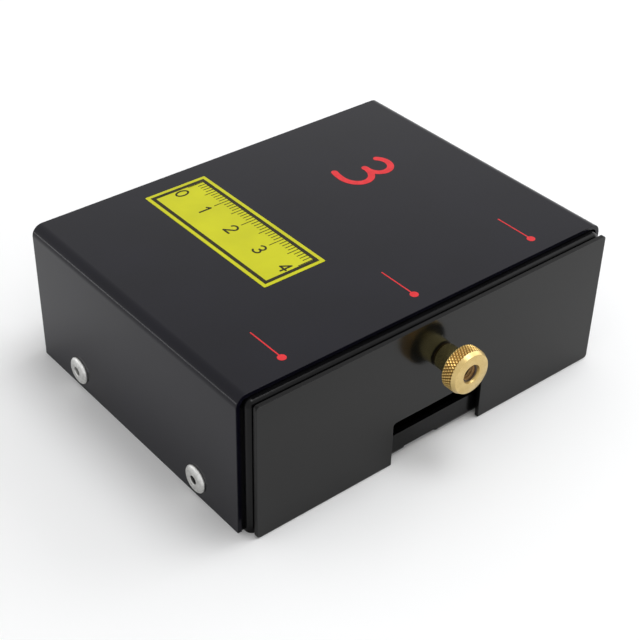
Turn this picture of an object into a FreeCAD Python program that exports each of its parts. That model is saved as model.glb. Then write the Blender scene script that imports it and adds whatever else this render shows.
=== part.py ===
import FreeCAD, Part
import math
import os

# Laser ray box: a folded steel housing with three laser modules behind a low front window,
# and a turnable shutter plate held by a knurled thumb nut.
# Millimetres. X runs to the right along the front, Y to the back, Z up.
# The origin is the middle of the housing's underside.

X_AXIS = FreeCAD.Vector(1, 0, 0)
Y_AXIS = FreeCAD.Vector(0, 1, 0)
Z_AXIS = FreeCAD.Vector(0, 0, 1)
SIDES = (-1, 1)

# Cover: one folded sheet with a top and two sides
cover_width = 100.0
cover_depth = 74.3
cover_height = 34.5
sheet = 1.0
cover_bend = 2.6
front_edge = -cover_depth / 2
rear_edge = cover_depth / 2

# Front and rear panels: pans that slip inside the cover and stand a little proud of it
panel_proud = 1.85
panel_bend = 1.6
panel_top_gap = 0.1
panel_top = cover_height - sheet - panel_top_gap
panel_half = cover_width / 2 - sheet
panel_set_in = 0.6
panel_rim_depth = 1.2
flange_start = 0.3
panel_corner_gap = 0.3
side_flange_depth = 22.0
top_flange_depth = 12.0
front_face = front_edge - panel_proud
rear_face = rear_edge + panel_proud
window_top = 14.6

# Tray: floor, low side flanges and the front lip under the window
tray_half = panel_half - sheet
tray_bend = 1.5
tray_flange_height = 10.0
tray_end_gap = 1.5
lip_end_gap = 4.0
lip_half = tray_half - lip_end_gap
lip_height = 6.0
lip_cut_left = -7.5
lip_cut_right = 2.2
lip_cut_height = 1.4
lip_cut_depth = 2.1
butt_gap = 0.05

# Blind rivets
rivet_height = 4.55
rivet_inset = 14.1
rivet_pitch = 44.7
rivet_front = front_edge + rivet_inset
rivet_rear = rivet_front + rivet_pitch
rivet_radius = 1.6
rivet_fit = 0.05
rivet_head_radius = 3.2
rivet_head_height = 0.9
rivet_head_rim = 0.25
rivet_head_steps = 8
rivet_bulge_radius = 2.3
rivet_bulge_length = 2.4
rivet_core_radius = 0.95
rivet_core_rim = 0.4

# Shutter stack on the stud: panel, spacer washer, plate, thrust washer, thumb nut
stud_height = 23.5
stud_radius = 1.95
stud_fit = 0.05
stud_flange_radius = 4.0
stud_flange_thickness = 1.5
stud_reach = 6.15
stud_tip_chamfer = 0.35
spacer_radius = 4.5
spacer_thickness = 0.8
washer_clearance = 0.2
plate_side_step = 1.0
plate_half = panel_half - plate_side_step
plate_bottom = 0.1
plate_rise = 0.2
plate_top = panel_top + plate_rise
plate_corner = 0.8
plate_thickness = 1.0
notch_half = 12.7
notch_top = 11.3
notch_corner = 0.8
thrust_radius = 2.8
thrust_thickness = 0.4
collar_radius = 2.9
collar_length = 4.35
collar_flare = 0.25
nut_radius = 5.1
nut_head_length = 3.7
nut_chamfer = 0.5
nut_back_chamfer = 0.2
nut_mouth_radius = 2.2
nut_mouth_depth = 0.6
spacer_front = front_face - spacer_thickness
plate_front = spacer_front - plate_thickness
thrust_front = plate_front - thrust_thickness

# Holder bar that keeps the three modules in line, between the inner ends of the rivets
bar_side_gap = 1.6
bar_half = tray_half - sheet - rivet_bulge_length - bar_side_gap
bar_end_wall = 2.8
bar_depth = 12.0
bar_top = 16.6
screw_radius = 1.45
screw_hole_radius = 1.5
screw_clearance_radius = 1.7
screw_tip_gap = 0.1
cap_head_radius = 2.75
cap_head_height = 3.0
hex_key_across_flats = 2.8
hex_key_depth = 1.4
set_screw_gap = 0.05
set_screw_sink = 0.1
set_screw_across_flats = 1.7
set_screw_key_depth = 0.85

# Laser modules, one behind each beam mark
barrel_radius = 6.0
barrel_length = 32.0
barrel_setback = 8.0
bar_setback = 6.0
barrel_front = front_edge + barrel_setback
barrel_back = barrel_front + barrel_length
bar_front = barrel_front + bar_setback
bar_middle = bar_front + bar_depth / 2
barrel_fit = 0.05
beam_pitch = bar_half - bar_end_wall - barrel_radius
beam_height = 8.8
beam_places = {"left": -beam_pitch, "centre": 0.0, "right": beam_pitch}
bar_screw_x = beam_pitch / 2
lens_bore_radius = 5.0
lens_bore_depth = 6.0
light_bore_radius = 4.0
diode_bore_radius = 4.6
diode_bore_depth = 6.0
lens_radius = 4.9
lens_thickness = 2.5
lens_bulge = 0.8
lens_rib_half = 1.9
ring_radius = 4.95
ring_hole_radius = 3.5
ring_thickness = 2.0
diode_flange_radius = 4.5
diode_flange_thickness = 1.5
diode_can_radius = 2.8
diode_can_length = 3.0
diode_board_radius = 4.4
diode_board_thickness = 1.2
diode_shoulder = barrel_back - diode_bore_depth
diode_board_front = diode_shoulder + diode_flange_thickness

# Driver board on four standoffs, behind the barrels
board_gap = 5.0
board_side_step = 3.0
board_half = bar_half - board_side_step
board_front = barrel_back + board_gap
board_depth = 23.0
board_bottom = 6.0
board_thickness = 1.6
board_top = board_bottom + board_thickness
standoff_side_inset = 15.0
standoff_x = board_half - standoff_side_inset
standoff_inset = 4.0
standoff_across_flats = 5.5
pan_head_radius = 2.75
pan_head_height = 1.9
pan_shank_length = 5.0
slot_width = 0.7
slot_depth = 0.9

# Parts on the driver board: plugs in front, then chips, then a row in line with the terminal
plug_size = (7.0, 5.0, 4.0)
plug_inset = 1.0
plug_front = board_front + plug_inset
chip_size = (5.0, 4.0, 1.5)
chip_gap = 2.0
chip_front = plug_front + plug_size[1] + chip_gap
terminal_size = (10.6, 8.0, 8.0)
terminal_gap = 1.0
terminal_front = chip_front + chip_size[1] + terminal_gap
terminal_middle = terminal_front + terminal_size[1] / 2
terminal_pole = 2.6
terminal_hole_radius = 1.1
terminal_hole_depth = 3.0
terminal_hole_height = 3.6
terminal_well_radius = 1.75
rectifier_size = (8.0, 6.0, 5.0)
row_step = 9.0
rectifier_x = standoff_x - row_step
fuse_x = -rectifier_x
fuse_radius = 3.6
fuse_thickness = 2.0
fuse_lift = 1.0
fuse_leg_radius = 0.35
fuse_leg_spread = 2.2
capacitor_radius = 4.0
capacitor_height = 8.0
capacitor_round = 0.5
capacitor_x = standoff_x + row_step
resistor_size = (2.0, 1.25, 0.6)
resistor_count = 3
resistor_pitch = 3.0
resistor_x = -capacitor_x - resistor_size[0]

# Two 4 mm sockets on the rear panel
socket_x = 9.5
socket_height = 20.0
socket_flange_radius = 5.75
socket_flange_length = 4.0
socket_barrel_radius = 4.0
socket_barrel_length = 9.0
socket_hole_radius = 4.1
socket_inner_radius = 3.05
sleeve_radius = 3.0
sleeve_bore_radius = 2.0
sleeve_bore_length = 17.0
sleeve_length = 19.0
sleeve_recess = 0.5
socket_chamfer = 0.5
stem_radius = 1.45
stem_length = 3.5
ring_nut_across_flats = 11.0
ring_nut_thickness = 2.5
ring_nut_radius = 4.05
tag_radius = 2.4
tag_thickness = 0.6
tag_width = 2.0
tag_reach = 5.0
rear_inside = rear_face - sheet
sleeve_mouth = rear_face + socket_flange_length - sleeve_recess
tag_seat = sleeve_mouth - sleeve_length
tag_front = tag_seat - tag_thickness

# Leads
lead_radius = 0.6
lead_spread = 2.0
lead_straight = 1.5


def box(x_span, y_span, z_span):
    """A block between two values on each axis."""
    corner = FreeCAD.Vector(x_span[0], y_span[0], z_span[0])
    size = (x_span[1] - x_span[0], y_span[1] - y_span[0], z_span[1] - z_span[0])
    return Part.makeBox(*size, corner)


def block_on_board(x, y_front, size):
    """A block of the given size, centred on x, standing on the driver board."""
    half = size[0] / 2
    return box((x - half, x + half), (y_front, y_front + size[1]), (board_top, board_top + size[2]))


def rod(radius, start, axis, length):
    """A round rod from a start point along an axis."""
    return Part.makeCylinder(radius, length, FreeCAD.Vector(*start), axis)


def edges_along(solid, axis, points):
    """The straight edges along an axis that pass through the given points."""
    chosen = []
    for edge in solid.Edges:
        run = edge.Vertexes[-1].Point.sub(edge.Vertexes[0].Point)
        if run.Length == 0 or abs(run.dot(axis)) < 0.999 * run.Length:
            continue
        for point in points:
            if edge.distToShape(Part.Vertex(FreeCAD.Vector(*point)))[0] < 0.01:
                chosen.append(edge)
                break
    return chosen


def round_edges(solid, axis, points, radius):
    """Round the straight edges along an axis that pass through the given points."""
    return solid.makeFillet(radius, edges_along(solid, axis, points))


def across(axis):
    """An axis square to the given one."""
    return X_AXIS if abs(axis.z) > 0.5 else Z_AXIS


def spun(profile, centre, axis):
    """Turn a list of (distance along axis, radius) points about an axis into a solid."""
    side = across(axis)
    origin = FreeCAD.Vector(*centre)
    points = [origin + axis * along + side * radius for along, radius in profile]
    wire = Part.makePolygon(points + [points[0]])
    return Part.Face(wire).revolve(origin, axis, 360)


def hex_prism(across_flats, start, axis, length):
    """A hexagonal bar from a start point along an axis."""
    side = across(axis)
    other = axis.cross(side)
    reach = across_flats / math.sqrt(3)
    origin = FreeCAD.Vector(*start)
    corners = []
    for step in range(6):
        angle = math.radians(60 * step)
        corners.append(origin + side * (reach * math.cos(angle)) + other * (reach * math.sin(angle)))
    return Part.Face(Part.makePolygon(corners + [corners[0]])).extrude(axis * length)


def joined(solids):
    """Join overlapping solids into one and drop the seams between them."""
    return solids[0].fuse(solids[1:]).removeSplitter()


def rivet_places():
    """Side and depth of the four rivets."""
    return [(side, y) for side in SIDES for y in (rivet_front, rivet_rear)]


def with_rivet_holes(solid, depths):
    """Cut the rivet holes at the given depths through both side walls."""
    for y in depths:
        start = (-cover_width, y, rivet_height)
        solid = solid.cut(rod(rivet_radius + rivet_fit, start, X_AXIS, 2 * cover_width))
    return solid


def make_cover():
    """Folded cover: outer block with round top bends, less the inner block."""
    half = cover_width / 2
    outer = box((-half, half), (front_edge, rear_edge), (0, cover_height))
    outer = round_edges(outer, Y_AXIS, [(side * half, 0, cover_height) for side in SIDES], cover_bend)
    inner_top = cover_height - sheet
    inner = box((-panel_half, panel_half), (front_edge - 1, rear_edge + 1), (-1, inner_top))
    inner_corners = [(side * panel_half, 0, inner_top) for side in SIDES]
    inner = round_edges(inner, Y_AXIS, inner_corners, cover_bend - sheet)
    return with_rivet_holes(outer.cut(inner), (rivet_front, rivet_rear))


def pan_block(half, top, low, face_y, outward, depth, bend):
    """A block behind a face, with round bends along the face's sides and top and at its corners."""
    end_y = face_y - outward * depth
    block = box((-half, half), sorted((face_y, end_y)), (low, top))
    chosen = edges_along(block, X_AXIS, [(0, face_y, top)])
    for side in SIDES:
        chosen += edges_along(block, Z_AXIS, [(side * half, face_y, top / 2)])
        chosen += edges_along(block, Y_AXIS, [(side * half, (face_y + end_y) / 2, top)])
    return block.makeFillet(bend, chosen)


def make_panel(face_y, outward, sheet_low, rivet_depth):
    """End panel: a shallow pan set in from the cover, side flanges and a top flange."""
    half = panel_half - panel_set_in
    rim_depth = panel_proud + panel_rim_depth
    outer = pan_block(half, panel_top, 0, face_y, outward, rim_depth, panel_bend)
    inner_face = face_y - outward * sheet
    inner = pan_block(half - sheet, panel_top - sheet, -1, inner_face, outward, rim_depth, panel_bend - sheet)
    pan = outer.cut(inner)
    flat_half = half - panel_bend
    if sheet_low > 0:
        face_depth = sorted((face_y + outward, face_y - outward * panel_bend))
        pan = pan.cut(box((-flat_half, flat_half), face_depth, (-1, sheet_low)))

    top_end = face_y - outward * (panel_proud + top_flange_depth)
    pieces = [pan, box((-flat_half, flat_half), sorted((inner_face, top_end)), (panel_top - sheet, panel_top))]
    flange_ends = [face_y - outward * (panel_proud + reach) for reach in (flange_start, side_flange_depth)]
    flange_top = panel_top - panel_bend - panel_corner_gap
    for side in SIDES:
        walls = sorted((side * panel_half, side * (panel_half - sheet)))
        pieces.append(box(walls, sorted(flange_ends), (0, flange_top)))
    return with_rivet_holes(joined(pieces), (rivet_depth,))


def make_front_panel():
    """Front panel with the low window for the beams and the stud hole."""
    panel = make_panel(front_face, -1, window_top, rivet_front)
    hole = rod(stud_radius + stud_fit, (0, front_face - 1, stud_height), Y_AXIS, 3 * sheet)
    return panel.cut(hole)


def make_rear_panel():
    """Closed rear panel with the two socket holes."""
    panel = make_panel(rear_face, 1, 0, rivet_rear)
    for side in SIDES:
        start = (side * socket_x, rear_face + 1, socket_height)
        panel = panel.cut(rod(socket_hole_radius, start, -Y_AXIS, 3 * sheet))
    return panel


def make_tray():
    """Floor with low side flanges, and a front lip with a shallow cut at its foot."""
    span = (front_edge + tray_end_gap, rear_edge - tray_end_gap)
    outer = box((-tray_half, tray_half), span, (0, tray_flange_height))
    outer = round_edges(outer, Y_AXIS, [(side * tray_half, 0, 0) for side in SIDES], tray_bend)
    inner_half = tray_half - sheet
    inner = box((-inner_half, inner_half), (span[0] - 1, span[1] + 1), (sheet, tray_flange_height + 1))
    inner = round_edges(inner, Y_AXIS, [(side * inner_half, 0, sheet) for side in SIDES], tray_bend - sheet)
    channel = outer.cut(inner)

    lip_end = front_edge + 2 * tray_end_gap
    lip = box((-lip_half, lip_half), (front_face, lip_end), (0, lip_height))
    lip = round_edges(lip, X_AXIS, [(0, front_face, 0)], tray_bend)
    lip_room = box((-lip_half - 1, lip_half + 1), (front_face + sheet, lip_end + 1), (sheet, lip_height + 1))
    lip_room = round_edges(lip_room, X_AXIS, [(0, front_face + sheet, sheet)], tray_bend - sheet)
    lip = lip.cut(lip_room)

    tail_half = tray_half - tray_bend
    tail = box((-tail_half, tail_half), (span[1] - 1, rear_inside - butt_gap), (0, sheet))
    tray = joined([channel, lip, tail])

    foot_cut_depth = (front_face - 1, front_face + lip_cut_depth)
    tray = tray.cut(box((lip_cut_left, lip_cut_right), foot_cut_depth, (-1, lip_cut_height)))
    for side in SIDES:
        start = (side * bar_screw_x, bar_middle, -1)
        tray = tray.cut(rod(screw_hole_radius, start, Z_AXIS, 3 * sheet))
    return with_rivet_holes(tray, (rivet_front, rivet_rear))


def make_rivets():
    """Four blind rivets: domed head with a core hole, shank and inner bulge."""
    rivets = []
    stack = cover_width / 2 - (tray_half - sheet)
    crown = rivet_core_radius + rivet_core_rim
    dome = []
    for step in range(rivet_head_steps + 1):
        angle = math.pi / 2 * (1 - step / rivet_head_steps)
        rise = rivet_head_rim + (rivet_head_height - rivet_head_rim) * math.sin(angle)
        dome.append((rise, crown + (rivet_head_radius - crown) * math.cos(angle)))
    for side, y in rivet_places():
        profile = [(rivet_head_height, rivet_core_radius)] + dome + [
            (0, rivet_head_radius),
            (0, rivet_radius),
            (-stack, rivet_radius),
            (-stack, rivet_bulge_radius),
            (-stack - rivet_bulge_length, rivet_bulge_radius),
            (-stack - rivet_bulge_length, 0),
            (-stack, 0),
            (-stack, rivet_core_radius),
        ]
        rivets.append(spun(profile, (side * cover_width / 2, y, rivet_height), X_AXIS * side))
    return Part.makeCompound(rivets)


def make_stud():
    """Threaded stud set in the front panel with its flange behind the sheet."""
    inner_face = front_face + sheet
    flange = rod(stud_flange_radius, (0, inner_face, stud_height), Y_AXIS, stud_flange_thickness)
    tip = plate_front - stud_reach
    shank = rod(stud_radius, (0, tip, stud_height), Y_AXIS, inner_face - tip)
    rim = [edge for edge in shank.Edges if edge.CenterOfMass.y < tip + 0.01]
    shank = shank.makeChamfer(stud_tip_chamfer, rim[:1])
    return joined([flange, shank])


def make_washer(outer_radius, front_y, thickness):
    """A flat washer on the stud."""
    start = (0, front_y, stud_height)
    hole_start = (0, front_y - 1, stud_height)
    disc = rod(outer_radius, start, Y_AXIS, thickness)
    return disc.cut(rod(stud_radius + washer_clearance, hole_start, Y_AXIS, thickness + 2))


def make_shutter_plate():
    """Flat plate with round corners, a notch for the centre beam and a stud hole."""
    plate = box((-plate_half, plate_half), (plate_front, spacer_front), (plate_bottom, plate_top))
    corners = [(side * plate_half, plate_front, z) for side in SIDES for z in (plate_bottom, plate_top)]
    plate = round_edges(plate, Y_AXIS, corners, plate_corner)
    notch = box((-notch_half, notch_half), (plate_front - 1, spacer_front + 1), (-1, notch_top))
    notch_corners = [(side * notch_half, plate_front, notch_top) for side in SIDES]
    notch = round_edges(notch, Y_AXIS, notch_corners, notch_corner)
    hole_start = (0, plate_front - 1, stud_height)
    hole = rod(stud_radius + washer_clearance, hole_start, Y_AXIS, plate_thickness + 2)
    return plate.cut(notch).cut(hole)


def make_thumb_nut():
    """Knurled nut: collar that widens a little to the round head, chamfers and a through bore."""
    bore = stud_radius + stud_fit
    head_end = collar_length + nut_head_length
    profile = [
        (0, bore),
        (0, collar_radius),
        (collar_length, collar_radius + collar_flare),
        (collar_length, nut_radius - nut_back_chamfer),
        (collar_length + nut_back_chamfer, nut_radius),
        (head_end - nut_chamfer, nut_radius),
        (head_end, nut_radius - nut_chamfer),
        (head_end, nut_mouth_radius),
        (head_end - nut_mouth_depth, bore),
    ]
    return spun(profile, (0, thrust_front, stud_height), -Y_AXIS)


def make_barrel(x):
    """Module barrel with a lens bore in front and a diode bore behind."""
    start = (x, barrel_front, beam_height)
    barrel = rod(barrel_radius, start, Y_AXIS, barrel_length)
    barrel = barrel.cut(rod(light_bore_radius, start, Y_AXIS, barrel_length))
    barrel = barrel.cut(rod(lens_bore_radius, start, Y_AXIS, lens_bore_depth))
    back = (x, barrel_back, beam_height)
    return barrel.cut(rod(diode_bore_radius, back, -Y_AXIS, diode_bore_depth))


def make_lens(x):
    """Line lens: a disc with a shallow cylindrical rib on its front face."""
    seat = barrel_front + lens_bore_depth
    disc = rod(lens_radius, (x, seat, beam_height), -Y_AXIS, lens_thickness)
    rib_start = (x - lens_rib_half, seat - lens_thickness, beam_height)
    rib = rod(lens_bulge, rib_start, X_AXIS, 2 * lens_rib_half)
    return joined([disc, rib])


def make_lens_ring(x):
    """Threaded ring that holds the lens on its seat."""
    start = (x, barrel_front + lens_bore_depth - lens_thickness, beam_height)
    ring = rod(ring_radius, start, -Y_AXIS, ring_thickness)
    return ring.cut(rod(ring_hole_radius, start, -Y_AXIS, ring_thickness))


def make_laser_diode(x):
    """Laser diode: flange on the shoulder of the barrel and a can in the light bore."""
    flange = rod(diode_flange_radius, (x, diode_shoulder, beam_height), Y_AXIS, diode_flange_thickness)
    can = rod(diode_can_radius, (x, diode_shoulder, beam_height), -Y_AXIS, diode_can_length)
    return joined([flange, can])


def make_diode_board(x):
    """Small round board behind the diode that takes the leads."""
    return rod(diode_board_radius, (x, diode_board_front, beam_height), Y_AXIS, diode_board_thickness)


def make_holder_bar():
    """Bar with three cross bores, clamp screw holes and two fixing holes."""
    bar = box((-bar_half, bar_half), (bar_front, bar_front + bar_depth), (sheet, bar_top))
    for x in beam_places.values():
        start = (x, bar_front - 1, beam_height)
        bar = bar.cut(rod(barrel_radius + barrel_fit, start, Y_AXIS, bar_depth + 2))
        bar = bar.cut(rod(screw_hole_radius, (x, bar_middle, beam_height), Z_AXIS, bar_top))
    for side in SIDES:
        start = (side * bar_screw_x, bar_middle, 0)
        bar = bar.cut(rod(screw_clearance_radius, start, Z_AXIS, bar_top + 1))
    return bar


def make_clamp_screws():
    """Three set screws that clamp the barrels in the bar."""
    low = beam_height + barrel_radius + set_screw_gap
    high = bar_top - set_screw_sink
    screws = []
    for x in beam_places.values():
        screw = rod(screw_radius, (x, bar_middle, low), Z_AXIS, high - low)
        key = hex_prism(set_screw_across_flats, (x, bar_middle, high), -Z_AXIS, set_screw_key_depth)
        screws.append(screw.cut(key))
    return Part.makeCompound(screws)


def make_bar_screws():
    """Two cap screws through the bar into the floor."""
    head_top = bar_top + cap_head_height
    screws = []
    for side in SIDES:
        x = side * bar_screw_x
        shank = rod(screw_radius, (x, bar_middle, screw_tip_gap), Z_AXIS, bar_top - screw_tip_gap)
        head = rod(cap_head_radius, (x, bar_middle, bar_top), Z_AXIS, cap_head_height)
        key = hex_prism(hex_key_across_flats, (x, bar_middle, head_top), -Z_AXIS, hex_key_depth)
        screws.append(joined([shank, head]).cut(key))
    return Part.makeCompound(screws)


def standoff_places():
    """Middle of each of the four board standoffs."""
    depths = (board_front + standoff_inset, board_front + board_depth - standoff_inset)
    return [(side * standoff_x, y) for side in SIDES for y in depths]


def make_driver_board():
    """Driver board with four screw holes."""
    span = (board_front, board_front + board_depth)
    board = box((-board_half, board_half), span, (board_bottom, board_top))
    for x, y in standoff_places():
        board = board.cut(rod(screw_clearance_radius, (x, y, 0), Z_AXIS, 2 * board_top))
    return board


def make_standoffs():
    """Four hexagonal standoffs clinched to the floor."""
    standoffs = []
    for x, y in standoff_places():
        post = hex_prism(standoff_across_flats, (x, y, sheet), Z_AXIS, board_bottom - sheet)
        standoffs.append(post.cut(rod(screw_hole_radius, (x, y, sheet), Z_AXIS, board_bottom)))
    return Part.makeCompound(standoffs)


def make_board_screws():
    """Four slotted pan screws that hold the board."""
    screws = []
    for x, y in standoff_places():
        shank = rod(screw_radius, (x, y, board_top), -Z_AXIS, pan_shank_length)
        head = rod(pan_head_radius, (x, y, board_top), Z_AXIS, pan_head_height)
        head_top = board_top + pan_head_height
        slot_x = (x - pan_head_radius, x + pan_head_radius)
        slot_y = (y - slot_width / 2, y + slot_width / 2)
        slot = box(slot_x, slot_y, (head_top - slot_depth, head_top + 1))
        screws.append(joined([shank, head]).cut(slot))
    return Part.makeCompound(screws)


def make_laser_plugs():
    """Three plug housings, one for each module's leads."""
    plugs = [block_on_board(x, plug_front, plug_size) for x in beam_places.values()]
    return Part.makeCompound(plugs)


def make_driver_chips():
    """Three constant-current driver chips."""
    chips = [block_on_board(x, chip_front, chip_size) for x in beam_places.values()]
    return Part.makeCompound(chips)


def make_input_terminal():
    """Two-pole terminal block with open wire mouths at the front and screw wells on top."""
    terminal = block_on_board(0, terminal_front, terminal_size)
    hole_height = board_top + terminal_hole_height
    well = board_top + terminal_size[2] - terminal_hole_depth
    for side in SIDES:
        x = side * terminal_pole
        mouth = (x, terminal_front - 1, hole_height)
        well_start = (x, terminal_middle, well)
        terminal = terminal.cut(rod(terminal_hole_radius, mouth, Y_AXIS, terminal_hole_depth + 1))
        terminal = terminal.cut(rod(terminal_well_radius, well_start, Z_AXIS, terminal_hole_depth))
    return terminal


def make_rectifier():
    """Bridge rectifier that makes the input safe against reversed supply."""
    return block_on_board(rectifier_x, terminal_middle - rectifier_size[1] / 2, rectifier_size)


def make_input_fuse():
    """Resettable fuse: an upright disc on two legs."""
    disc_start = (fuse_x, terminal_middle - fuse_thickness / 2, board_top + fuse_lift + fuse_radius)
    pieces = [rod(fuse_radius, disc_start, Y_AXIS, fuse_thickness)]
    for side in SIDES:
        foot = (fuse_x + side * fuse_leg_spread, terminal_middle, board_top)
        pieces.append(rod(fuse_leg_radius, foot, Z_AXIS, fuse_lift + fuse_radius))
    return joined(pieces)


def make_capacitor():
    """Smoothing capacitor: an upright can."""
    can = rod(capacitor_radius, (capacitor_x, terminal_middle, board_top), Z_AXIS, capacitor_height)
    rim = [edge for edge in can.Edges if edge.CenterOfMass.z > board_top + capacitor_height - 0.01]
    return can.makeFillet(capacitor_round, rim[:1])


def make_resistors():
    """Small current-setting resistors in a row."""
    places = [resistor_x + step * resistor_pitch for step in range(resistor_count)]
    return Part.makeCompound([block_on_board(x, terminal_front, resistor_size) for x in places])


def make_socket_body(side):
    """Insulating socket body: outer flange and a barrel through the rear panel."""
    profile = [
        (socket_flange_length, socket_inner_radius),
        (socket_flange_length, socket_flange_radius - socket_chamfer),
        (socket_flange_length - socket_chamfer, socket_flange_radius),
        (0, socket_flange_radius),
        (0, socket_barrel_radius),
        (-socket_barrel_length, socket_barrel_radius),
        (-socket_barrel_length, socket_inner_radius),
    ]
    return spun(profile, (side * socket_x, rear_face, socket_height), Y_AXIS)


def make_socket_sleeves():
    """Metal socket sleeves with a blind bore and a stem for the solder tag."""
    sleeves = []
    for side in SIDES:
        profile = [
            (0, sleeve_bore_radius),
            (0, sleeve_radius),
            (-sleeve_length, sleeve_radius),
            (-sleeve_length, stem_radius),
            (-sleeve_length - stem_length, stem_radius),
            (-sleeve_length - stem_length, 0),
            (-sleeve_bore_length, 0),
            (-sleeve_bore_length, sleeve_bore_radius),
        ]
        sleeves.append(spun(profile, (side * socket_x, sleeve_mouth, socket_height), Y_AXIS))
    return Part.makeCompound(sleeves)


def make_ring_nuts():
    """Hexagonal nuts that pull the socket bodies against the rear panel."""
    nuts = []
    for side in SIDES:
        start = (side * socket_x, rear_inside, socket_height)
        nut = hex_prism(ring_nut_across_flats, start, -Y_AXIS, ring_nut_thickness)
        nuts.append(nut.cut(rod(ring_nut_radius, start, -Y_AXIS, ring_nut_thickness)))
    return Part.makeCompound(nuts)


def make_solder_tags():
    """Ring tags on the socket stems, each with a tab that takes a lead."""
    tags = []
    span = (tag_front, tag_seat)
    for side in SIDES:
        x = side * socket_x
        ring = rod(tag_radius, (x, span[0], socket_height), Y_AXIS, tag_thickness)
        tab_z = (socket_height, socket_height + tag_reach)
        tab = box((x - tag_width / 2, x + tag_width / 2), span, tab_z)
        hole = rod(stem_radius + stud_fit, (x, span[0], socket_height), Y_AXIS, tag_thickness)
        tags.append(joined([ring, tab]).cut(hole))
    return Part.makeCompound(tags)


def make_laser_leads(side):
    """One straight lead of each module, from the diode board to its plug."""
    start_y = diode_board_front + diode_board_thickness
    leads = []
    for place in beam_places.values():
        start = (place + side * lead_spread, start_y, beam_height)
        leads.append(rod(lead_radius, start, Y_AXIS, plug_front - start_y))
    return Part.makeCompound(leads)


def make_supply_lead(side):
    """Lead from a socket tag, round in a half circle, to the input terminal."""
    tag_z = socket_height + tag_reach - tag_width / 2
    hole_z = board_top + terminal_hole_height
    start = FreeCAD.Vector(side * socket_x, tag_front, tag_z)
    end = FreeCAD.Vector(side * terminal_pole, terminal_front + terminal_hole_depth, hole_z)
    turn_y = terminal_front - lead_straight
    turn_start = FreeCAD.Vector(start.x, turn_y, start.z)
    turn_end = FreeCAD.Vector(end.x, turn_y, end.z)
    turn_radius = turn_start.distanceToPoint(turn_end) / 2
    turn_middle = (turn_start + turn_end) * 0.5 - Y_AXIS * turn_radius
    turn = Part.Arc(turn_start, turn_middle, turn_end).toShape()
    path = Part.Wire([Part.makeLine(start, turn_start), turn, Part.makeLine(turn_end, end)])
    section = Part.Wire([Part.makeCircle(lead_radius, start, Y_AXIS)])
    return path.makePipeShell([section], True, False)


def build_nodes():
    """All named pieces of the ray box."""
    nodes = {
        "cover": make_cover(),
        "front_panel": make_front_panel(),
        "rear_panel": make_rear_panel(),
        "base_tray": make_tray(),
        "blind_rivets": make_rivets(),
        "shutter_stud": make_stud(),
        "spacer_washer": make_washer(spacer_radius, spacer_front, spacer_thickness),
        "shutter_plate": make_shutter_plate(),
        "thrust_washer": make_washer(thrust_radius, thrust_front, thrust_thickness),
        "thumb_nut": make_thumb_nut(),
        "holder_bar": make_holder_bar(),
        "clamp_screws": make_clamp_screws(),
        "bar_screws": make_bar_screws(),
        "driver_board": make_driver_board(),
        "board_standoffs": make_standoffs(),
        "board_screws": make_board_screws(),
        "laser_plugs": make_laser_plugs(),
        "driver_chips": make_driver_chips(),
        "input_terminal": make_input_terminal(),
        "rectifier": make_rectifier(),
        "input_fuse": make_input_fuse(),
        "capacitor": make_capacitor(),
        "resistors": make_resistors(),
        "socket_body_red": make_socket_body(1),
        "socket_body_black": make_socket_body(-1),
        "socket_sleeves": make_socket_sleeves(),
        "socket_ring_nuts": make_ring_nuts(),
        "solder_tags": make_solder_tags(),
        "laser_leads_red": make_laser_leads(1),
        "laser_leads_black": make_laser_leads(-1),
        "supply_lead_red": make_supply_lead(1),
        "supply_lead_black": make_supply_lead(-1),
    }
    for name, x in beam_places.items():
        nodes["laser_barrel_" + name] = make_barrel(x)
        nodes["line_lens_" + name] = make_lens(x)
        nodes["lens_ring_" + name] = make_lens_ring(x)
        nodes["laser_diode_" + name] = make_laser_diode(x)
        nodes["diode_board_" + name] = make_diode_board(x)
    return nodes


os.makedirs("parts", exist_ok=True)
for node, shape in build_nodes().items():
    shape.exportStep("parts/" + node + ".step")
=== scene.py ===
import math

import bmesh
import bpy
import numpy as np
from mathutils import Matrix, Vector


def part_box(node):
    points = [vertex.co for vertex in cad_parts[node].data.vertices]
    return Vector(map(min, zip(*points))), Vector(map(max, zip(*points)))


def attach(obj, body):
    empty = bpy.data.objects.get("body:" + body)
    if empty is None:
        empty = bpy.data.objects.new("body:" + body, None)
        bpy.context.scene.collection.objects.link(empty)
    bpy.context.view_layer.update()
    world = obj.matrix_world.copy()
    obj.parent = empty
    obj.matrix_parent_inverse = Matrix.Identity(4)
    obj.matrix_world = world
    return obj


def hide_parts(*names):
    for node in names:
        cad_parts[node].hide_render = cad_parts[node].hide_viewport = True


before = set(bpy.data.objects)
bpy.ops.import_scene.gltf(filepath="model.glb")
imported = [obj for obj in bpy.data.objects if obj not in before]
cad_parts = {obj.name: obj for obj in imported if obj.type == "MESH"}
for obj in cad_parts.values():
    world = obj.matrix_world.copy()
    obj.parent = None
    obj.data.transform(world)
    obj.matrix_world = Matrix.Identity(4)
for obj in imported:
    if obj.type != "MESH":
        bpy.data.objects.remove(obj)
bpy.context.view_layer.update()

MM = 0.001

# Cover: one sheet of 1 mm steel folded into a top and two sides, stove-enamelled satin black.
# Its cut edges are broken by the enamel, so each one has a small round that catches the light.


def new_material(name, roughness, specular=0.5, metallic=0.0):
    """A material with its shader; gloss values that are the same all over are set on the shader."""
    material = bpy.data.materials.new(name)
    material.use_nodes = True
    shader = material.node_tree.nodes["Principled BSDF"]
    shader.inputs["Roughness"].default_value = roughness
    shader.inputs["Specular IOR Level"].default_value = specular
    shader.inputs["Metallic"].default_value = metallic
    return material, shader


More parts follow.
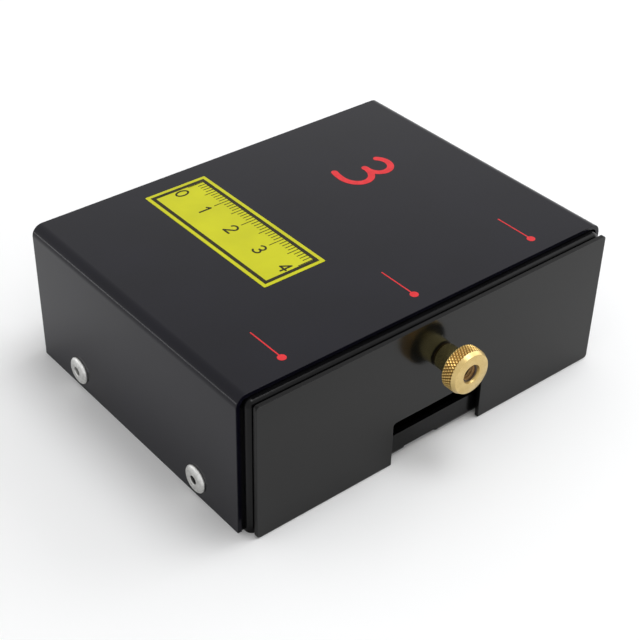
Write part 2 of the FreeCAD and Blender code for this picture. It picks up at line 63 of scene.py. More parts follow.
def place_on_piece(material, stretch=(1, 1, 1), centre=(0, 0, 0)):
    """The piece's own coordinates in millimetres from a centre, stretched along each axis."""
    nodes, links = material.node_tree.nodes, material.node_tree.links
    coordinates = nodes.new("ShaderNodeTexCoord")
    mapping = nodes.new("ShaderNodeMapping")
    scale = [share / MM for share in stretch]
    mapping.inputs["Scale"].default_value = scale
    mapping.inputs["Location"].default_value = [-middle * share for middle, share in zip(centre, stretch)]
    links.new(coordinates.outputs["Object"], mapping.inputs["Vector"])
    return mapping.outputs["Vector"]


def cloud(material, size, detail=2.0, stretch=(1, 1, 1)):
    """Noise from 0 to 1 whose patches are about size millimetres across."""
    noise = material.node_tree.nodes.new("ShaderNodeTexNoise")
    noise.inputs["Scale"].default_value = 1.0 / size
    noise.inputs["Detail"].default_value = detail
    material.node_tree.links.new(place_on_piece(material, stretch), noise.inputs["Vector"])
    return noise.outputs["Fac"]


def spread(material, value, low, high, start=0.3, end=0.7):
    """A value from start to end brought to low to high."""
    span = material.node_tree.nodes.new("ShaderNodeMapRange")
    for socket, number in zip(("From Min", "From Max", "To Min", "To Max"), (start, end, low, high)):
        span.inputs[socket].default_value = number
    material.node_tree.links.new(value, span.inputs["Value"])
    return span.outputs["Result"]


def blend_colours(material, share, first, second):
    """First colour where share is 0, second where it is 1; each is three numbers or a colour socket."""
    links = material.node_tree.links
    mix = material.node_tree.nodes.new("ShaderNodeMix")
    mix.data_type = "RGBA"
    for end, colour in (("A", first), ("B", second)):
        if isinstance(colour, tuple):
            mix.inputs[end].default_value = (*colour, 1)
        else:
            links.new(colour, mix.inputs[end])
    links.new(share, mix.inputs["Factor"])
    return mix.outputs["Result"]


def relief(material, shader, height, depth, strength=1.0):
    """Bump of the given depth in millimetres."""
    bump = material.node_tree.nodes.new("ShaderNodeBump")
    bump.inputs["Strength"].default_value = strength
    bump.inputs["Distance"].default_value = depth * MM
    material.node_tree.links.new(height, bump.inputs["Height"])
    material.node_tree.links.new(bump.outputs["Normal"], shader.inputs["Normal"])


def enamel(name, thin, full, roughness, specular, peel):
    """Stove enamel: two close blacks in soft clouds, a faint orange peel, gloss that drifts a little."""
    material, shader = new_material(name, roughness, specular)
    links = material.node_tree.links
    patches = spread(material, cloud(material, 18, 3), 0, 1)
    links.new(blend_colours(material, patches, thin, full), shader.inputs["Base Color"])
    drift = spread(material, cloud(material, 6, 4), roughness - 0.012, roughness + 0.018)
    links.new(drift, shader.inputs["Roughness"])
    relief(material, shader, cloud(material, 0.45, 3), peel)
    return material


def dress(material, *nodes):
    """Give CAD nodes a material in the slots they have."""
    for node in nodes:
        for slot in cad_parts[node].material_slots:
            slot.material = material


def add_piece(name, mesh, material, body, slot, *nodes):
    """A new piece that rides on a body and stands for CAD nodes; the slot argument is not used."""
    piece = bpy.data.objects.new(name, mesh)
    bpy.context.scene.collection.objects.link(piece)
    if not mesh.materials:
        mesh.materials.append(material)
    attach(piece, body)
    if nodes:
        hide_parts(*nodes)
    return piece


def soft_edged(name, node, material, body, slot, edge):
    """The CAD node's own faces, merged, with each sharp edge turned into a round of the given width."""
    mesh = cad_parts[node].data.copy()
    mesh.materials.clear()
    faces = bmesh.new()
    faces.from_mesh(mesh)
    bmesh.ops.remove_doubles(faces, verts=faces.verts, dist=1e-3 * MM)
    bmesh.ops.dissolve_limit(faces, angle_limit=math.radians(0.2), verts=faces.verts, edges=faces.edges)
    faces.to_mesh(mesh)
    faces.free()
    mesh.shade_smooth()
    piece = add_piece(name, mesh, material, body, slot, node)
    rounding = piece.modifiers.new("cut_edges", "BEVEL")
    rounding.width = edge * MM
    rounding.segments = 3
    rounding.limit_method = "ANGLE"
    rounding.angle_limit = math.radians(40)
    flats = piece.modifiers.new("flat_faces", "WEIGHTED_NORMAL")
    flats.keep_sharp = True
    return piece


cover_enamel = enamel("cover_enamel", (0.0028, 0.0026, 0.0060), (0.0040, 0.0037, 0.0085), 0.17, 0.188, 0.004)
soft_edged("enamelled_cover", "cover", cover_enamel, "housing", "cover_paint", 0.22)

# Front and rear panels and the tray: the inner pans of the housing, folded from the same sheet
# and enamelled the same black, a little duller than the cover.
panel_enamel = enamel("panel_enamel", (0.0016, 0.0016, 0.0018), (0.0030, 0.0030, 0.0033), 0.20, 0.155, 0.004)
for pan in ("front_panel", "rear_panel", "base_tray"):
    soft_edged("enamelled_" + pan, pan, panel_enamel, "housing", "panel_paint", 0.18)

# Shutter plate: a flat 1 mm steel plate with a notch for the centre beam, in a semi-gloss enamel
# smooth enough to mirror the thumb nut softly. Its cut edges hold a duller coat.
plate_enamel = enamel("plate_enamel", (0.0024, 0.0024, 0.0023), (0.0042, 0.0042, 0.0040), 0.16, 0.27, 0.003)
edge_enamel = enamel("edge_enamel", (0.0020, 0.0020, 0.0020), (0.0036, 0.0036, 0.0036), 0.24, 0.14, 0.004)
plate = soft_edged("enamelled_plate", "shutter_plate", plate_enamel, "shutter", "shutter_paint", 0.16)
plate.data.materials.append(edge_enamel)
for face in plate.data.polygons:
    if abs(face.normal.y) < 0.5:
        face.material_index = 1

# Blind rivets: four drawn aluminium rivets, each with a low dome and, deep in the middle,
# the torn end of the steel mandrel that set it.


def surface(name, points, wrap_rows=False, wrap_columns=False, crease=35):
    """Mesh of a grid of points in millimetres: a four-sided face between neighbouring rows and columns."""
    rows, columns = points.shape[:2]
    index = np.arange(rows * columns).reshape(rows, columns)
    if wrap_rows:
        index = np.vstack([index, index[:1]])
    if wrap_columns:
        index = np.hstack([index, index[:, :1]])
    corners = (index[:-1, :-1], index[:-1, 1:], index[1:, 1:], index[1:, :-1])
    mesh = bpy.data.meshes.new(name)
    mesh.from_pydata(points.reshape(-1, 3) * MM, [], np.stack(corners, -1).reshape(-1, 4).tolist())
    faces = bmesh.new()
    faces.from_mesh(mesh)
    bmesh.ops.remove_doubles(faces, verts=faces.verts, dist=1e-3 * MM)
    bmesh.ops.recalc_face_normals(faces, faces=faces.faces)
    faces.to_mesh(mesh)
    faces.free()
    mesh.shade_smooth()
    mesh.set_sharp_from_angle(angle=math.radians(crease))
    return mesh


def turned(along, radius, centre, axis, steps):
    """Points at (centre + along the axis + radius in the direction that turns once in steps columns)."""
    axis = np.array(axis, float)
    first = np.array((0, 0, 1.0))
    second = np.cross(axis, first)
    angle = np.linspace(0, 2 * math.pi, steps, endpoint=False)
    ring = np.cos(angle)[:, None] * first + np.sin(angle)[:, None] * second
    along = np.broadcast_to(np.asarray(along, float).reshape(len(along), -1), (len(along), steps))
    radius = np.broadcast_to(np.asarray(radius, float).reshape(len(radius), -1), (len(radius), steps))
    return np.array(centre) + along[..., None] * axis + radius[..., None] * ring


def merge_meshes(name, meshes):
    """Several meshes made into one."""
    joined = bmesh.new()
    for mesh in meshes:
        joined.from_mesh(mesh)
        bpy.data.meshes.remove(mesh)
    whole = bpy.data.meshes.new(name)
    joined.to_mesh(whole)
    joined.free()
    return whole


rivet_low, rivet_high = (np.array(corner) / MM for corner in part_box("blind_rivets"))
rivet_radius = 3.2
rivet_fronts = (rivet_low[1] + rivet_radius, rivet_high[1] - rivet_radius)
rivet_height = (rivet_low[2] + rivet_high[2]) / 2
rivet_middle = sum(rivet_fronts) / 2


def reach_from(material, place, unfold=None):
    """Distance of a place from the origin, after folding it over at zero by the given half pitch."""
    nodes, links = material.node_tree.nodes, material.node_tree.links
    if unfold:
        folded = nodes.new("ShaderNodeVectorMath")
        folded.operation = "ABSOLUTE"
        links.new(place, folded.inputs[0])
        moved = nodes.new("ShaderNodeVectorMath")
        moved.operation = "SUBTRACT"
        moved.inputs[1].default_value = unfold
        links.new(folded.outputs["Vector"], moved.inputs[0])
        place = moved.outputs["Vector"]
    length = nodes.new("ShaderNodeVectorMath")
    length.operation = "LENGTH"
    links.new(place, length.inputs[0])
    return length.outputs["Value"]


def along_y(material):
    """The piece's own Y in millimetres."""
    parts = material.node_tree.nodes.new("ShaderNodeSeparateXYZ")
    material.node_tree.links.new(place_on_piece(material), parts.inputs["Vector"])
    return parts.outputs["Y"]


rivet_metal, shader = new_material("drawn_aluminium", 0.38, metallic=1.0)
tone = spread(rivet_metal, cloud(rivet_metal, 0.8, 4), 0, 1)
bare = blend_colours(rivet_metal, tone, (0.56, 0.56, 0.545), (0.78, 0.78, 0.76))
# The hole round the mandrel is painted: near black in the front two rivets as painted shade in the hole, and the
# mandrel's steel grey in the rear two.
core_shade_to_steel = spread(rivet_metal, along_y(rivet_metal), 0, 1, rivet_middle - 1, rivet_middle + 1)
painted_hole_shade_and_steel = blend_colours(rivet_metal, core_shade_to_steel, (0.02, 0.02, 0.02), (0.26, 0.26, 0.25))
rivet_place = place_on_piece(rivet_metal, (0, 1, 1), (0, rivet_middle, rivet_height))
off_axis = reach_from(rivet_metal, rivet_place, (0, rivet_fronts[1] - rivet_middle, 0))
core = spread(rivet_metal, off_axis, 1, 0, 0.93, 1.06)
rivet_metal.node_tree.links.new(blend_colours(rivet_metal, core, bare, painted_hole_shade_and_steel), shader.inputs["Base Color"])
relief(rivet_metal, shader, cloud(rivet_metal, 0.25, 3), 0.012)

cover_side = 50.0
dome = np.linspace(math.pi / 2, 0, 14)
rivet_along = np.concatenate([[-0.9, -0.9, -0.78, 0.62, 0.86], 0.25 + 0.65 * np.sin(dome), [0.06, 0, 0]])
rivet_out = np.concatenate([[0, 0.5, 0.93, 0.95, 1.08], 1.35 + 1.85 * np.cos(dome), [3.2, 3.12, 0]])
rivet_meshes = []
for place, side in enumerate((-1, 1, -1, 1)):
    centre = (side * cover_side, rivet_fronts[place // 2], rivet_height)
    torn = np.zeros((len(rivet_along), 72))
    torn[0:2] = 0.18 * place - 0.12
    torn[1] += 0.12 * np.sin(3 * np.linspace(0, 2 * math.pi, 72, endpoint=False) + place)
    along = rivet_along[:, None] + torn
    points = turned(along, rivet_out, centre, (side, 0, 0), 72)
    rivet_meshes.append(surface("rivet", points, wrap_columns=True))
add_piece("domed_rivets", merge_meshes("domed_rivets", rivet_meshes), rivet_metal, "housing",
          "rivet_aluminium", "blind_rivets")

# Stud: zinc-plated M4 stud pressed into the front panel, its thread rolled at 0.7 mm pitch.
stud_metal, shader = new_material("bright_zinc", 0.30, metallic=1.0)
tone = spread(stud_metal, cloud(stud_metal, 1.5, 4), 0, 1)
stud_metal.node_tree.links.new(
    blend_colours(stud_metal, tone, (0.52, 0.53, 0.54), (0.66, 0.67, 0.68)), shader.inputs["Base Color"]
)
relief(stud_metal, shader, cloud(stud_metal, 0.2, 3), 0.008)

stud_height = 23.5
thread_pitch = 0.7
stud_low, stud_high = (np.array(corner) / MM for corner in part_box("shutter_stud"))
stud_length = stud_high[1] - stud_low[1]
flange_start = stud_length - 1.5
steps = 48
turn = np.linspace(0, 1, steps, endpoint=False)
run = np.arange(0, flange_start, thread_pitch / 10)[:, None]
groove = np.abs(2 * ((run / thread_pitch + turn) % 1) - 1)
shank = 1.95 - 0.28 * np.clip(1.25 * groove - 0.15, 0, 1)
shank = np.minimum(shank, 1.6 + run)
stud_along = np.concatenate([[0], run[:, 0], [flange_start, flange_start, stud_length - 0.1, stud_length, stud_length]])
ends = [0 * turn], [0 * turn + r for r in (1.95, 4.0, 4.0, 3.9, 0)]
stud_out = np.vstack([*ends[0], shank, *ends[1]])
points = turned(stud_along, stud_out, (0, stud_low[1], stud_height), (0, 1, 0), steps)
add_piece("threaded_stud", surface("threaded_stud", points, wrap_columns=True), stud_metal, "housing",
          "zinc_steel", "shutter_stud")
dress(stud_metal, "spacer_washer", "clamp_screws", "bar_screws", "board_screws")

# Thumb nut: turned from brass bar with a plain collar and a diamond-knurled head.
# The knurl is two crossing sets of 44 grooves; its chamfers and faces were turned after it.
nut_low, nut_high = (np.array(corner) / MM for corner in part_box("thumb_nut"))
nut_length = nut_high[1] - nut_low[1]
collar_length = 4.35
nut_metal, shader = new_material("turned_brass", 0.24, metallic=1.0)
nodes, links = nut_metal.node_tree.nodes, nut_metal.node_tree.links
tone = spread(nut_metal, cloud(nut_metal, 2.0, 4), 0, 1)
brass = blend_colours(nut_metal, tone, (0.59, 0.43, 0.17), (0.68, 0.51, 0.225))
from_axis = reach_from(nut_metal, place_on_piece(nut_metal, (1, 0, 1), (0, 0, stud_height)))
nut_y = along_y(nut_metal)
# The threaded bore is painted near black brown and made almost non-metallic, as painted shade inside the bore.
painted_bore_shade = spread(nut_metal, from_axis, 1, 0, 1.95, 2.12)
brass = blend_colours(nut_metal, painted_bore_shade, brass, (0.030, 0.014, 0.006))
grooved = spread(nut_metal, nut_y, 0, 1, nut_low[1] + 0.9, nut_low[1] + 1.1)
brass = blend_colours(nut_metal, grooved, brass, blend_colours(
    nut_metal, spread(nut_metal, from_axis, 0, 1, 4.84, 5.04), (0.40, 0.22, 0.055), (0.66, 0.47, 0.17)))
collared = spread(nut_metal, nut_y, 0, 1, nut_high[1] - collar_length - 0.2, nut_high[1] - collar_length)
brass = blend_colours(nut_metal, collared, brass, (0.60, 0.51, 0.22))
links.new(brass, shader.inputs["Base Color"])
off_face = spread(nut_metal, nut_y, 0.25, 0.36, nut_low[1] + 0.02, nut_low[1] + 0.1)
turned_gloss = nodes.new("ShaderNodeMath")
turned_gloss.operation = "MULTIPLY"
links.new(off_face, turned_gloss.inputs[0])
links.new(spread(nut_metal, collared, 1, 0.66, 0, 1), turned_gloss.inputs[1])
links.new(turned_gloss.outputs["Value"], shader.inputs["Roughness"])
links.new(spread(nut_metal, painted_bore_shade, 1.0, 0.1, 0, 1), shader.inputs["Metallic"])
ring_count = nodes.new("ShaderNodeMath")
ring_count.operation = "MULTIPLY"
ring_count.inputs[1].default_value = 2 * math.pi / 0.12
rings = nodes.new("ShaderNodeMath")
rings.operation = "SINE"
on_face = nodes.new("ShaderNodeMath")
on_face.operation = "MULTIPLY"
links.new(from_axis, ring_count.inputs[0])
links.new(ring_count.outputs["Value"], rings.inputs[0])
links.new(rings.outputs["Value"], on_face.inputs[0])
links.new(spread(nut_metal, nut_y, 1, 0, nut_low[1] + 0.01, nut_low[1] + 0.03), on_face.inputs[1])
relief(nut_metal, shader, on_face.outputs["Value"], 0.0015)

knurl_count = 44
knurl_lead = 1.16
knurl_end = 1.2
steps = knurl_count * 14
turn = np.linspace(0, 1, steps, endpoint=False)
head = np.linspace(collar_length, nut_length, 56)[:, None]
knurls = [np.abs(2 * ((knurl_count * turn + way * head / knurl_lead) % 1) - 1) for way in (-1, 1)]
head_out = 5.1 - 0.27 * np.maximum(*knurls)
shoulder = np.clip((head - nut_length + knurl_end) / knurl_end, 0, 1)
plain_share = np.clip(shoulder / 0.2, 0, 1)
head_out = head_out * (1 - plain_share) + (5.1 - 0.55 * shoulder) * plain_share
cone = np.minimum(4.9 + head - collar_length, 4.45 + 0.65 * np.sqrt(np.clip((nut_length - head) / 0.5, 0, 1)))
head_out = np.minimum(head_out, cone)
screw = np.arange(nut_length - 0.62, 5.5, -thread_pitch / 10)[:, None]
crest = np.abs(2 * ((screw / thread_pitch + turn) % 1) - 1)
screw_out = 2.0 - 0.3 * np.clip(1.25 * crest - 0.1, 0, 1)
nut_along = np.concatenate([
    [0.0, 0.0, 0.14, collar_length - 0.05, collar_length], head[:, 0],
    [nut_length, nut_length - 0.08, nut_length - 0.6], screw[:, 0], [5.45, 5.4],
])
plain = [0 * turn + r for r in (2.0, 2.76, 2.9, 3.12, 3.2)]
mouth = [0 * turn + r for r in (2.35, 2.22, 2.02)]
nut_out = np.vstack([*plain, head_out, *mouth, screw_out, 0 * turn + 2.0, 0 * turn + 2.0])
points = turned(nut_along, nut_out, (0, nut_high[1], stud_height), (0, -1, 0), steps)
nut_mesh = surface("knurled_nut", points, wrap_rows=True, wrap_columns=True, crease=28)
add_piece("knurled_nut", nut_mesh, nut_metal, "nut", "nut_brass", "thumb_nut")


def plain_finish(name, first, second, roughness, metallic=0.0, patch=3.0, grain=0.3, depth=0.008, specular=0.5):
    """A finish of two near colours in patches, with a fine grain of the given depth."""
    material, shader = new_material(name, roughness, specular, metallic)
    tone = spread(material, cloud(material, patch, 4), 0, 1)
    material.node_tree.links.new(blend_colours(material, tone, first, second), shader.inputs["Base Color"])
    relief(material, shader, cloud(material, grain, 3), depth)
    return material


# Thrust washer: its brass is painted near black, as painted shade where the collar meets the plate.
dress(plain_finish("painted_shade_brass", (0.05, 0.035, 0.015), (0.08, 0.055, 0.025), 0.35, 1.0), "thrust_washer")

# Marks on the cover: screen-printed red ink. Three lines with dots show where the beams leave,
# and a plain figure gives their number.
red_ink, shader = new_material("red_ink", 0.45, 0.2)
tone = spread(red_ink, cloud(red_ink, 1.5, 5), 0, 1)
red_ink.node_tree.links.new(
    blend_colours(red_ink, tone, (0.62, 0.022, 0.029), (0.74, 0.032, 0.040)), shader.inputs["Base Color"]
)
relief(red_ink, shader, cloud(red_ink, 0.3, 3), 0.006)

cover_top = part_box("cover")[1][2] / MM
cover_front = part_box("cover")[0][1] / MM
ink_film = 0.03


def inked_stroke(name, path, width, low, film=ink_film):
    """A pen stroke of the given width along flat points, with half-round ends and a film's thickness.

    Each point is set off to both sides by half the width, square to the path's direction; the two
    end half circles are rows of points that narrow to the tip.
    """
    path = np.asarray(path, float)
    ahead = np.gradient(path, axis=0)
    ahead /= np.linalg.norm(ahead, axis=1)[:, None]
    start = path[0] - ahead[0] * (width / 2) * np.sin(np.linspace(math.pi / 2, 0.05, 8))[:, None]
    end = path[-1] + ahead[-1] * (width / 2) * np.sin(np.linspace(0.05, math.pi / 2, 8))[:, None]
    half = np.concatenate([
        np.cos(np.linspace(math.pi / 2, 0.05, 8)), np.ones(len(path)), np.cos(np.linspace(0.05, math.pi / 2, 8))
    ]) * width / 2
    middle = np.vstack([start, path, end])
    ahead = np.vstack([np.repeat(ahead[:1], 8, 0), ahead, np.repeat(ahead[-1:], 8, 0)])
    beside = np.stack([-ahead[:, 1], ahead[:, 0]], -1)
    left, right = middle + beside * half[:, None], middle - beside * half[:, None]
    top = np.full((len(middle), 1), low + film)
    bottom = np.full((len(middle), 1), low)
    rows = [np.hstack([side, level]) for side, level in ((left, bottom), (left, top), (right, top), (right, bottom))]
    return surface(name, np.stack(rows), wrap_rows=True)


def bow(centre, radii, start, end, count=40):
    """Points of an elliptical arc between two angles in degrees."""
    angle = np.radians(np.linspace(start, end, count))
    return np.stack([centre[0] + radii[0] * np.cos(angle), centre[1] + radii[1] * np.sin(angle)], -1)


def read_from_left(points):
    """Flat points laid on the cover so that they read from its left side: across is -Y, up is +X."""
    points = np.asarray(points, float)
    return np.stack([points[:, 1], -points[:, 0]], -1)


mark_meshes = []
beam_pitch = 34.2
mark_shift = -1.35
dot_radius = 0.95
mark_tail, mark_dot = cover_front + 14.6, cover_front + 4.65
for place in (-1, 0, 1):
    x = place * beam_pitch + mark_shift
    line = np.stack([np.full(12, x), np.linspace(mark_tail, mark_dot, 12)], -1)
    mark_meshes.append(inked_stroke("line", line, 0.31, cover_top))
    angle = np.linspace(0, 2 * math.pi, 48, endpoint=False)
    rings = [(0, 0), (dot_radius, 0), (dot_radius, 1.3 * ink_film), (0, 1.3 * ink_film)]
    rows = [np.stack([x + r * np.cos(angle), mark_dot + r * np.sin(angle), 0 * angle + cover_top + z], -1)
            for r, z in rings]
    mark_meshes.append(surface("dot", np.stack(rows), wrap_columns=True))
add_piece("beam_marks", merge_meshes("beam_marks", mark_meshes), red_ink, "housing", "cover_paint")

upper_bow = bow((-11.55, 27.1), (3.25, 3.05), 140, -100)
lower_bow = np.vstack([bow((-11.85, 20.35), (4.35, 3.7), 97, -90), bow((-11.85, 19.15), (5.6, 2.5), -91, -125)])
three = [inked_stroke("bow", read_from_left(points), 1.65, cover_top, ink_film * layer)
         for points, layer in ((upper_bow, 1.0), (lower_bow, 1.3))]
add_piece("beam_number", merge_meshes("beam_number", three), red_ink, "housing", "cover_paint")

# Sticker: a yellow film with a plain black scale in centimetres, stuck on the cover's top.
yellow_film, shader = new_material("yellow_film", 0.45, 0.25)
tone = spread(yellow_film, cloud(yellow_film, 9, 4), 0, 1)
yellow_film.node_tree.links.new(
    blend_colours(yellow_film, tone, (0.515, 0.51, 0.002), (0.575, 0.57, 0.003)), shader.inputs["Base Color"]
)
relief(yellow_film, shader, cloud(yellow_film, 2.5, 3), 0.02)
black_ink, shader = new_material("black_ink", 0.5, 0.12)
tone = spread(black_ink, cloud(black_ink, 1.5, 5), 0, 1)
black_ink.node_tree.links.new(
    blend_colours(black_ink, tone, (0.017, 0.015, 0.006), (0.030, 0.027, 0.010)), shader.inputs["Base Color"]
)
relief(black_ink, shader, cloud(black_ink, 0.3, 3), 0.005)

film = 0.06
sticker_x, sticker_y = (-24.1, -7.9), (cover_front + 25.07, cover_front + 69.05)


def flat_block(name, x_span, y_span, low, thickness, corner=0.0, count=6):
    """A thin block whose outline is a rectangle with round corners, as four quarter circles joined."""
    turn = np.linspace(0, math.pi / 2, count)
    outline = []
    for quarter, (x, y) in enumerate(((x_span[1], y_span[1]), (x_span[0], y_span[1]),
                                      (x_span[0], y_span[0]), (x_span[1], y_span[0]))):
        way = turn + quarter * math.pi / 2
        inward = np.array([(-1, -1), (1, -1), (1, 1), (-1, 1)][quarter]) * corner
        outline.append(np.stack([x + inward[0] + corner * np.cos(way), y + inward[1] + corner * np.sin(way)], -1))
    outline = np.vstack(outline)
    middle = np.broadcast_to([sum(x_span) / 2, sum(y_span) / 2], outline.shape)
    rows = []
    for flat, level in ((middle, low), (outline, low), (outline, low + thickness), (middle, low + thickness)):
        rows.append(np.hstack([flat, np.full((len(flat), 1), level)]))
    return surface(name, np.stack(rows), wrap_columns=True)


add_piece("yellow_sticker", flat_block("yellow_sticker", sticker_x, sticker_y, cover_top, film, 0.3),
          yellow_film, "housing", "cover_paint")

scale_marks = []
scale_low = cover_top + film
edge_x = (sticker_x[0] + 0.9, sticker_x[1] - 0.9)
edge_y = (sticker_y[0] + 0.9, sticker_y[1] - 0.9)
frame_line = 0.9
for x in (edge_x[0], edge_x[1] - frame_line):
    scale_marks.append(flat_block("edge", (x, x + frame_line), edge_y, scale_low, ink_film))
for y in (edge_y[0], edge_y[1] - frame_line):
    scale_marks.append(flat_block("edge", (edge_x[0] + frame_line, edge_x[1] - frame_line), (y, y + frame_line),
                                  scale_low, ink_film))
scale_start = sticker_y[1] - 2.0
scale_top = edge_x[1] - frame_line
for step in range(41):
    reach = 4.0 if step % 10 == 0 else 3.0 if step % 5 == 0 else 2.0
    y = scale_start - step
    scale_marks.append(flat_block("tick", (scale_top - reach, scale_top), (y - 0.1, y + 0.1), scale_low, ink_film, 0.02))
figures = {
    "0": [bow((0, 0), (0.95, 1.5), 90, 450)],
    "1": [[(-0.5, 0.9), (0.25, 1.5)], [(0.25, 1.5), (0.25, -1.5)]],
    "2": [bow((0, 0.6), (0.95, 0.9), 170, -30), [(0.82, 0.15), (-0.95, -1.5)], [(-0.95, -1.5), (1.0, -1.5)]],
    "3": [bow((0, 0.75), (0.85, 0.75), 150, -90), bow((0, -0.75), (0.95, 0.75), 90, -150)],
    "4": [[(0.45, -1.5), (0.45, 1.5)], [(0.45, 1.5), (-0.95, -0.5)], [(-0.95, -0.5), (1.0, -0.5)]],
}
for step, strokes in enumerate(figures.values()):
    across = -(scale_start - 10 * step)
    across += 1.3 * (step == 0) - 1.3 * (step == 4)
    for layer, stroke in enumerate(strokes):
        points = read_from_left(np.asarray(stroke, float) + (across, scale_top - 6.6))
        scale_marks.append(inked_stroke("figure", points, 0.45, scale_low, ink_film * (1 + 0.2 * layer)))
add_piece("sticker_scale", merge_meshes("sticker_scale", scale_marks), black_ink, "housing", "cover_paint")

# Laser modules: black anodised barrels, each with a glass line lens under a brass ring in front
# and a gold-plated diode on a small green board behind. The milled bar holds all three.

barrel_finish = plain_finish("matt_anodised", (0.018, 0.018, 0.020), (0.028, 0.028, 0.031), 0.48)
ring_finish = plain_finish("ring_brass", (0.68, 0.52, 0.24), (0.78, 0.62, 0.31), 0.30, 1.0)
diode_finish = plain_finish("gold_plate", (0.78, 0.60, 0.26), (0.86, 0.68, 0.32), 0.24, 1.0)
solder_mask = plain_finish("green_mask", (0.012, 0.13, 0.045), (0.020, 0.19, 0.07), 0.32, patch=2.0)
bar_finish = plain_finish("milled_aluminium", (0.60, 0.61, 0.62), (0.72, 0.73, 0.74), 0.33, 1.0, grain=0.15)
lens_glass, shader = new_material("lens_glass", 0.03)
shader.inputs["Transmission Weight"].default_value = 1.0
shader.inputs["IOR"].default_value = 1.52
smear = spread(lens_glass, cloud(lens_glass, 2.5, 4), 0.02, 0.07)
lens_glass.node_tree.links.new(smear, shader.inputs["Roughness"])
tint = blend_colours(lens_glass, smear, (0.96, 0.98, 0.97), (0.90, 0.95, 0.93))
lens_glass.node_tree.links.new(tint, shader.inputs["Base Color"])
for place in ("left", "centre", "right"):
    dress(barrel_finish, "laser_barrel_" + place)
    dress(ring_finish, "lens_ring_" + place)
    dress(diode_finish, "laser_diode_" + place)
    dress(solder_mask, "diode_board_" + place)
    dress(lens_glass, "line_lens_" + place)
dress(bar_finish, "holder_bar")

# Driver board: green glass-fibre board on four nickel standoffs, with the plugs, driver chips,
# terminal, rectifier, fuse, capacitor and resistors that feed the lasers.
dress(solder_mask, "driver_board")
nickel = plain_finish("nickel_plate", (0.56, 0.54, 0.49), (0.68, 0.66, 0.60), 0.26, 1.0)
dress(nickel, "board_standoffs", "socket_sleeves", "solder_tags")
moulded_black = plain_finish("moulded_black", (0.014, 0.014, 0.014), (0.026, 0.026, 0.026), 0.5, grain=0.2)
dress(moulded_black, "driver_chips", "rectifier", "resistors", "socket_ring_nuts")
dress(plain_finish("ivory_nylon", (0.72, 0.70, 0.62), (0.80, 0.78, 0.71), 0.42), "laser_plugs")
dress(plain_finish("green_nylon", (0.03, 0.28, 0.09), (0.05, 0.36, 0.13), 0.38), "input_terminal")
dress(plain_finish("dipped_yellow", (0.70, 0.42, 0.03), (0.80, 0.52, 0.05), 0.34), "input_fuse")
dress(plain_finish("shrink_sleeve", (0.015, 0.02, 0.05), (0.025, 0.035, 0.08), 0.3), "capacitor")

# Supply sockets and leads: two 4 mm sockets with moulded bodies, and thin flexible leads inside.
dress(plain_finish("socket_red", (0.44, 0.010, 0.012), (0.55, 0.018, 0.020), 0.3), "socket_body_red")
dress(plain_finish("socket_black", (0.012, 0.012, 0.012), (0.022, 0.022, 0.022), 0.3), "socket_body_black")
lead_finish = {"red": ((0.40, 0.012, 0.012), (0.52, 0.02, 0.02)), "black": ((0.012,) * 3, (0.024,) * 3)}
for colour, tones in lead_finish.items():
    dress(plain_finish("lead_" + colour, *tones, 0.5), "laser_leads_" + colour, "supply_lead_" + colour)

# Studio: a white floor that fades into the background, a soft lamp overhead, a broad one low on
# the right, a low strip behind the left side that lines the cover's bend, and a pale sky.
floor_mesh = surface("floor", np.array([[(-2500, -2500, -0.02), (2500, -2500, -0.02)],
                                        [(-2500, 2500, -0.02), (2500, 2500, -0.02)]], float))
floor = bpy.data.objects.new("floor", floor_mesh)
bpy.context.scene.collection.objects.link(floor)
white_paper, shader = new_material("white_paper", 0.9, 0.1)
tone = spread(white_paper, cloud(white_paper, 200, 2), 0, 1)
white_paper.node_tree.links.new(
    blend_colours(white_paper, tone, (0.96, 0.96, 0.96), (0.97, 0.97, 0.97)), shader.inputs["Base Color"]
)
floor_mesh.materials.append(white_paper)


def soft_lamp(name, place, aim, size, power, colour):
    """An area lamp of the given width and height in metres at place, turned to shine at aim."""
    lamp = bpy.data.lights.new(name, "AREA")
    lamp.shape = "RECTANGLE"
    lamp.size, lamp.size_y = size
    lamp.energy = power
    lamp.color = colour
    holder = bpy.data.objects.new(name, lamp)
    way = np.array(place) - np.array(aim)
    holder.location = place
    holder.rotation_euler = (math.atan2(math.hypot(way[0], way[1]), way[2]), 0, math.atan2(way[0], -way[1]))
    bpy.context.scene.collection.objects.link(holder)


soft_lamp("lamp_above", (0.26, -0.12, 1.05), (0, 0, 0), (0.45, 0.45), 3.6, (0.98, 0.99, 1.0))
soft_lamp("lamp_right", (1.0, -0.12, 0.52), (0, 0, 0), (1.0, 1.0), 4.2, (0.98, 0.99, 1.0))
soft_lamp("lamp_strip", (-0.80, 0.62, 0.04), (0, 0, 0), (0.45, 0.07), 0.45, (1.0, 1.0, 1.0))


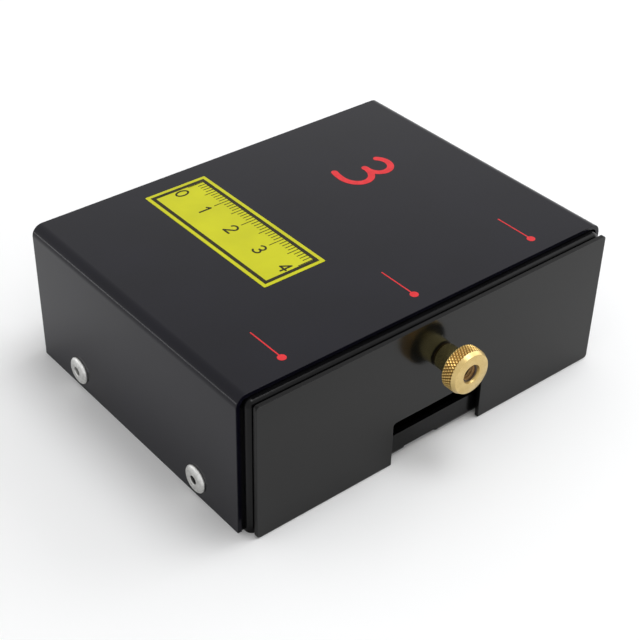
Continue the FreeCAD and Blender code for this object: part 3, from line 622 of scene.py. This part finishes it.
def seen_share(tree):
    """1 for rays that are seen directly, in a mirror or through glass, and 0 for the rest."""
    rays = tree.nodes.new("ShaderNodeLightPath")
    seen = rays.outputs["Is Camera Ray"]
    for kind in ("Is Glossy Ray", "Is Transmission Ray"):
        either = tree.nodes.new("ShaderNodeMath")
        either.operation = "MAXIMUM"
        tree.links.new(seen, either.inputs[0])
        tree.links.new(rays.outputs[kind], either.inputs[1])
        seen = either.outputs["Value"]
    return seen


paper_tree = white_paper.node_tree
far = spread(white_paper, reach_from(white_paper, place_on_piece(white_paper)), 0, 1, 120, 420)
far_seen = paper_tree.nodes.new("ShaderNodeMath")
far_seen.operation = "MULTIPLY"
paper_tree.links.new(far, far_seen.inputs[0])
paper_tree.links.new(seen_share(paper_tree), far_seen.inputs[1])
glow = paper_tree.nodes.new("ShaderNodeEmission")
fade = paper_tree.nodes.new("ShaderNodeMixShader")
paper_tree.links.new(far_seen.outputs["Value"], fade.inputs["Fac"])
paper_tree.links.new(shader.outputs["BSDF"], fade.inputs[1])
paper_tree.links.new(glow.outputs["Emission"], fade.inputs[2])
paper_tree.links.new(fade.outputs["Shader"], paper_tree.nodes["Material Output"].inputs["Surface"])

sky = bpy.data.worlds.new("pale_sky")
bpy.context.scene.world = sky
sky.use_nodes = True
sky_nodes, sky_links = sky.node_tree.nodes, sky.node_tree.links
background = sky_nodes["Background"]
level = sky_nodes.new("ShaderNodeMapRange")
level.inputs["To Min"].default_value = 0.71
level.inputs["To Max"].default_value = 1.0
sky_links.new(seen_share(sky.node_tree), level.inputs["Value"])
sky_links.new(level.outputs["Result"], background.inputs["Strength"])
background.inputs["Color"].default_value = (1, 1, 1, 1)

camera_data = bpy.data.cameras.new("camera")
camera_data.lens = 78.598
camera_data.sensor_width = 36.0
camera_data.clip_start = 0.01
camera = bpy.data.objects.new("camera", camera_data)
camera.location = (-0.165930, -0.198450, 0.198374)
camera.rotation_euler = [math.radians(angle) for angle in (53.72035, -1.15336, -39.23978)]
bpy.context.scene.collection.objects.link(camera)
bpy.context.scene.camera = camera
bpy.context.scene.view_settings.view_transform = "Standard"
